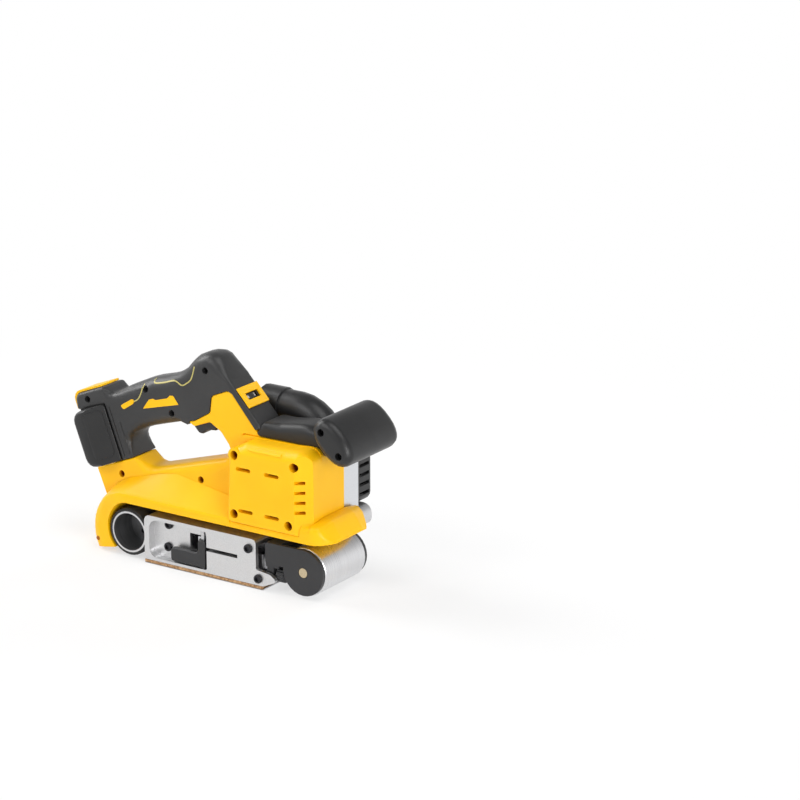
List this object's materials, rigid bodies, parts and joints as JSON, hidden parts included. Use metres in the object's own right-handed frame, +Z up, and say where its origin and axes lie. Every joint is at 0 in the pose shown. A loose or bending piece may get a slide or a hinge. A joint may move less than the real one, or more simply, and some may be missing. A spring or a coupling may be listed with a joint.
{
  "type": "handheld belt sander",
  "caption": "Handheld cordless belt sander: loop handle with trigger over a hooded roller base, motor block, front knob handle, rear dust port, tension lever and tracking knob.",
  "frame": {"origin": "on the platen's lower face, midway between the two rollers and on the belt's centre line", "axes": "+X to the front along the belt, +Y to the tool's left, +Z up from the work"},
  "size_m": [0.322, 0.107, 0.2025],
  "materials": {
    "yellow_plastic": "satin moulded",
    "black_plastic": "fine textured",
    "dark_grey_plastic": "satin moulded",
    "cast_aluminium": "cast and machined",
    "bright_steel": "turned",
    "black_steel": "black oxide",
    "black_rubber": "matte",
    "cork": "cork sheet",
    "brass": "turned"
  },
  "bodies": {
    "body": {"motor_housing": "yellow_plastic", "housing_right": "yellow_plastic", "housing_left": "yellow_plastic", "cap_trim": "yellow_plastic", "speed_panel": "yellow_plastic", "belt_hood": "yellow_plastic", "drive_cover": "black_plastic", "handle_right": "black_plastic", "handle_left": "black_plastic", "front_handle_right": "black_plastic", "front_handle_left": "black_plastic", "top_shroud": "black_plastic", "dust_port": "black_plastic", "battery_mount": "dark_grey_plastic", "terminal_block": "dark_grey_plastic", "control_module": "dark_grey_plastic", "trigger_switch": "dark_grey_plastic", "base_frame": "cast_aluminium", "gear_case": "cast_aluminium", "platen_sheet": "bright_steel", "roller_bearing_inner": "bright_steel", "roller_bearing_outer": "bright_steel", "stator": "bright_steel", "motor_bearing_right": "bright_steel", "motor_bearing_left": "bright_steel", "tension_spring": "bright_steel", "lever_pin": "bright_steel", "frame_screw_1": "black_steel", "frame_screw_2": "black_steel", "frame_screw_3": "black_steel", "frame_screw_4": "black_steel", "motor_screw_1": "black_steel", "motor_screw_2": "black_steel", "motor_screw_3": "black_steel", "motor_screw_4": "black_steel", "front_handle_screw_1": "black_steel", "front_handle_screw_2": "black_steel", "drive_belt": "black_rubber", "cork_pad": "cork"},
    "drive_roller": {"drive_roller": "bright_steel", "roller_lagging": "black_rubber", "drive_shaft": "bright_steel", "driven_pulley": "cast_aluminium"},
    "motor_rotor": {"motor_shaft": "bright_steel", "rotor": "black_steel", "motor_fan": "dark_grey_plastic", "motor_pulley": "bright_steel"},
    "tension_lever": {"tension_lever": "dark_grey_plastic"},
    "tension_slide": {"tension_slide": "bright_steel", "yoke_pin": "bright_steel"},
    "idler_yoke": {"idler_yoke": "dark_grey_plastic", "idler_axle": "brass"},
    "tracking_knob": {"tracking_knob": "black_rubber"},
    "idler_roller": {"idler_roller": "cast_aluminium", "idler_bearing_right": "bright_steel", "idler_bearing_left": "bright_steel"},
    "trigger": {"trigger": "dark_grey_plastic"},
    "lock_button": {"lock_button": "dark_grey_plastic"},
    "speed_dial": {"speed_dial": "dark_grey_plastic"}
  },
  "joints": [
    {"name": "drive_roller_spin", "type": "hinge", "parent": "body", "child": "drive_roller", "pos_m": [-0.098, 0, 0.0244], "axis": [0, 1, 0], "continuous": true},
    {"name": "motor_spin", "type": "hinge", "parent": "body", "child": "motor_rotor", "pos_m": [0.057, 0, 0.092], "axis": [0, 1, 0], "continuous": true},
    {"name": "tension_slide_travel", "type": "slide", "parent": "body", "child": "tension_slide", "axis": [1, 0, 0], "range_m": [-0.006, 0], "stiffness_N_per_m": 1500, "springref_m": 0.008, "deforming": ["tension_spring"]},
    {"name": "tension_lever_swing", "type": "hinge", "parent": "body", "child": "tension_lever", "pos_m": [-0.013, -0.0335, 0.0229], "axis": [0, 0, 1], "range_deg": [0, 85]},
    {"name": "idler_tilt", "type": "hinge", "parent": "tension_slide", "child": "idler_yoke", "pos_m": [0.064, 0, 0.03], "axis": [0, 0, 1], "range_deg": [-1, 1]},
    {"name": "tracking_knob_turn", "type": "hinge", "parent": "idler_yoke", "child": "tracking_knob", "pos_m": [0.0705, -0.026, 0.0145], "axis": [1, 0, 0], "range_deg": [-180, 180]},
    {"name": "idler_roller_spin", "type": "hinge", "parent": "idler_yoke", "child": "idler_roller", "pos_m": [0.098, 0, 0.0244], "axis": [0, 1, 0], "continuous": true},
    {"name": "trigger_pull", "type": "slide", "parent": "body", "child": "trigger", "axis": [-0.3584, 0, 0.9336], "range_m": [0, 0.006], "stiffness_N_per_m": 300, "springref_m": -0.004},
    {"name": "lock_button_push", "type": "slide", "parent": "body", "child": "lock_button", "axis": [0, -1, 0], "range_m": [0, 0.0025], "stiffness_N_per_m": 400, "springref_m": -0.002},
    {"name": "speed_dial_turn", "type": "hinge", "parent": "body", "child": "speed_dial", "pos_m": [0.01246, 0, 0.16041], "axis": [0.6751, 0, -0.7377], "range_deg": [-150, 150]}
  ],
  "couplings": [
    {"joint": "motor_spin", "follows": "drive_roller_spin", "ratio": 2.25},
    {"joint": "tension_lever_swing", "follows": "tension_slide_travel", "rad_per_m": -247},
    {"joint": "tracking_knob_turn", "follows": "idler_tilt", "ratio": -180}
  ]
}
